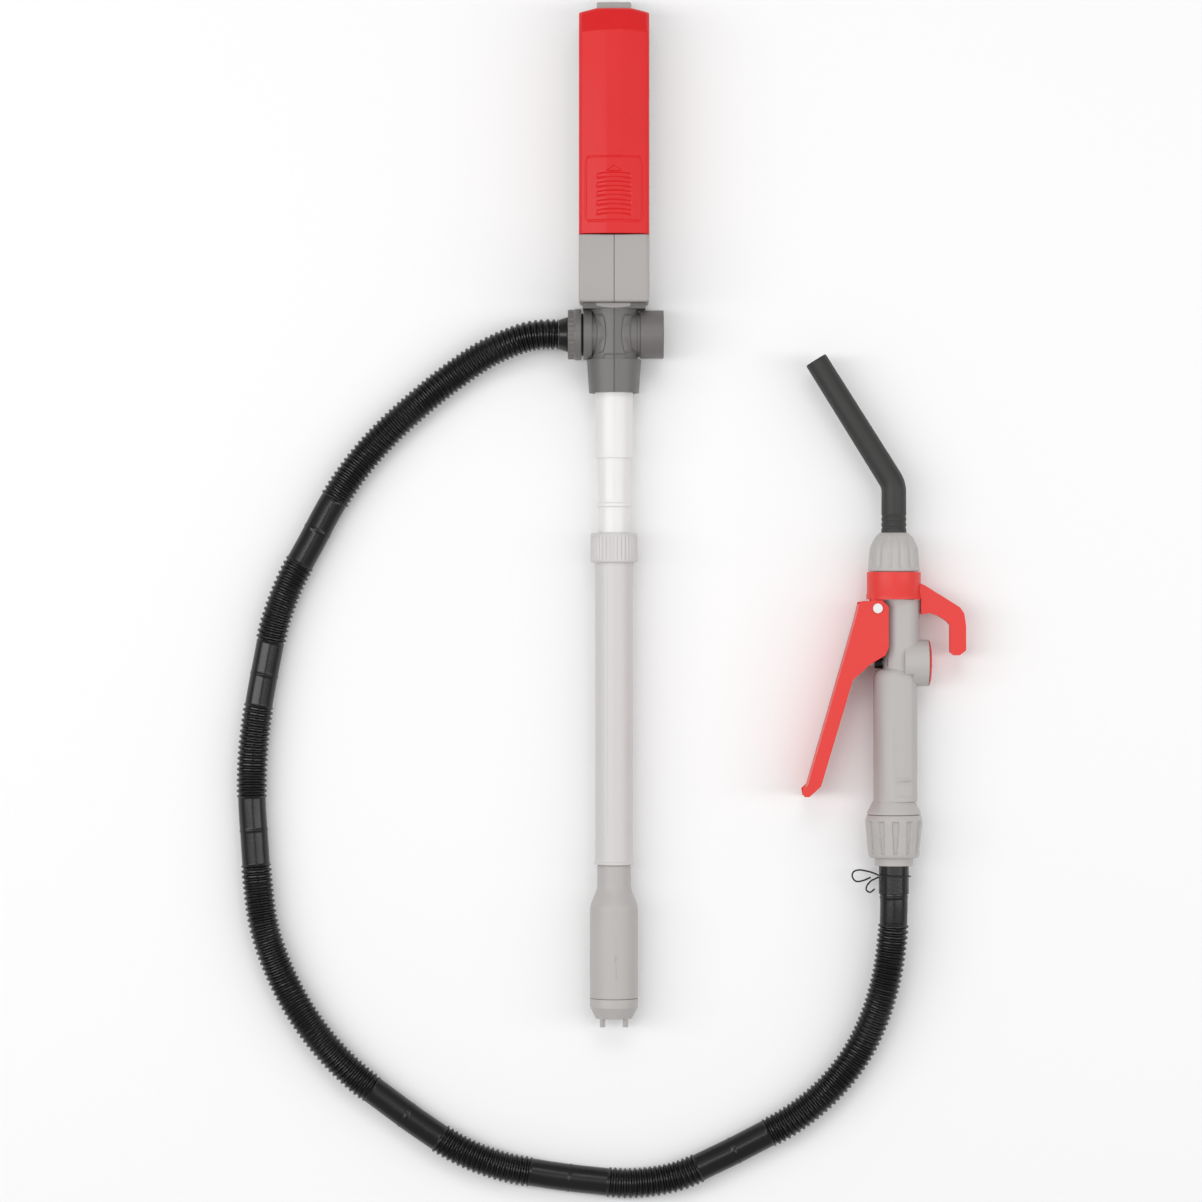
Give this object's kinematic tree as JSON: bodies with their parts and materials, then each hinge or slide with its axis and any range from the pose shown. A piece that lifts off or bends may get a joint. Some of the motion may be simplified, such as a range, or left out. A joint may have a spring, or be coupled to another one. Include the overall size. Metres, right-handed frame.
{
  "type": "battery hand transfer pump",
  "caption": "Battery-powered liquid transfer pump with a telescoping suction tube, a corrugated hose and a trigger nozzle with a hook.",
  "frame": {"origin": "middle of the flat back of the battery case, on the plane of the column's axis", "axes": "+Y along the suction column from the foot to the battery head, +Z out of the flat back towards the cover, +X towards the nozzle"},
  "size_m": [0.4378, 0.7188, 0.043],
  "materials": {
    "red_plastic": "satin",
    "case_grey": "matte",
    "light_grey": "matte",
    "white_plastic": "satin",
    "black_rubber": "gloss",
    "seal_rubber": "matte",
    "charcoal": "matte",
    "steel": "satin",
    "black_wire": "gloss",
    "brass": "satin",
    "cell_steel": "satin"
  },
  "bodies": {
    "frame": {"hook_collar": "red_plastic", "boss_cap": "red_plastic", "head_shell_left": "case_grey", "head_shell_right": "case_grey", "manifold": "case_grey", "nozzle_body": "light_grey", "nozzle_ferrule": "light_grey", "upper_tube": "white_plastic", "inner_tube": "white_plastic", "pivot_pin": "white_plastic", "outlet_cuff": "black_rubber", "nozzle_cuff": "black_rubber", "hose": "black_rubber", "stem_gland": "black_rubber", "lead_grommet": "seal_rubber", "motor_lead": "seal_rubber", "outlet_seal": "seal_rubber", "tube_seal": "seal_rubber", "spout_seal": "seal_rubber", "switch_block": "charcoal", "terminal_block": "charcoal", "case_screw_upper": "steel", "case_screw_lower": "steel", "contact_spring": "steel", "valve_spring": "steel", "wire_clip": "black_wire", "spring_plate": "brass", "contact_plate": "brass", "return_strip": "brass", "battery_cell_upper": "cell_steel", "battery_cell_lower": "cell_steel"},
    "cover": {"battery_cover": "red_plastic"},
    "button": {"power_button": "charcoal"},
    "outlet_nut": {"hose_nut": "case_grey"},
    "side_cap": {"port_cap": "case_grey", "port_gasket": "seal_rubber"},
    "lower_tube": {"outer_tube": "light_grey", "lock_collet": "white_plastic", "foot_body": "light_grey", "foot_cap": "light_grey", "intake_strainer": "charcoal", "motor_capsule": "case_grey", "capsule_lid": "case_grey", "motor": "cell_steel", "shaft_seal": "seal_rubber"},
    "grip_nut": {"lock_nut": "light_grey"},
    "rotor": {"motor_shaft": "steel", "impeller": "white_plastic"},
    "spout_ring": {"spout_nut": "light_grey"},
    "spout_tip": {"spout": "charcoal"},
    "trigger_arm": {"trigger": "red_plastic"},
    "valve": {"valve_stem": "light_grey", "valve_spool": "white_plastic", "spool_seal": "seal_rubber"},
    "hose_ring": {"nozzle_nut": "light_grey"}
  },
  "joints": [
    {"name": "cover_slide", "type": "slide", "parent": "frame", "child": "cover", "axis": [0, 1, 0], "range_m": [0, 0.12]},
    {"name": "power_press", "type": "slide", "parent": "frame", "child": "button", "axis": [0, -1, 0], "range_m": [0, 0.002], "stiffness_N_per_m": 400, "springref_m": -0.002},
    {"name": "outlet_nut_turn", "type": "hinge", "parent": "frame", "child": "outlet_nut", "pos_m": [-0.0235, -0.1046, 0.0165], "axis": [-1, 0, 0], "range_deg": [0, 360]},
    {"name": "side_cap_turn", "type": "hinge", "parent": "frame", "child": "side_cap", "pos_m": [0.0228, -0.1046, 0.0165], "axis": [1, 0, 0], "range_deg": [0, 360]},
    {"name": "tube_slide", "type": "slide", "parent": "frame", "child": "lower_tube", "axis": [0, -1, 0], "range_m": [-0.014, 0.082], "deforming": ["motor_lead"]},
    {"name": "grip_nut_turn", "type": "hinge", "parent": "lower_tube", "child": "grip_nut", "pos_m": [0, -0.2323, 0.0165], "axis": [0, 1, 0], "range_deg": [-180, 0]},
    {"name": "rotor_spin", "type": "hinge", "parent": "lower_tube", "child": "rotor", "pos_m": [0, -0.49, 0.0165], "axis": [0, -1, 0], "continuous": true},
    {"name": "spout_ring_turn", "type": "hinge", "parent": "frame", "child": "spout_ring", "pos_m": [0.1678, -0.235, 0.0173], "axis": [0, 1, 0], "range_deg": [0, 360]},
    {"name": "spout_swivel", "type": "hinge", "parent": "frame", "child": "spout_tip", "pos_m": [0.1678, -0.215, 0.0173], "axis": [0, 1, 0], "range_deg": [0, 180]},
    {"name": "trigger_turn", "type": "hinge", "parent": "frame", "child": "trigger_arm", "pos_m": [0.1574, -0.2688, 0.0173], "axis": [0, 0, 1], "range_deg": [0, 13], "stiffness_Nm_per_rad": 2, "springref_deg": -2.86},
    {"name": "valve_slide", "type": "slide", "parent": "frame", "child": "valve", "axis": [1, 0, 0], "range_m": [0, 0.0074], "deforming": ["valve_spring"]},
    {"name": "hose_ring_turn", "type": "hinge", "parent": "frame", "child": "hose_ring", "pos_m": [0.1678, -0.405, 0.0173], "axis": [0, 1, 0], "range_deg": [0, 360]}
  ],
  "couplings": [
    {"joint": "valve_slide", "follows": "trigger_turn", "m_per_rad": 0.0325}
  ]
}
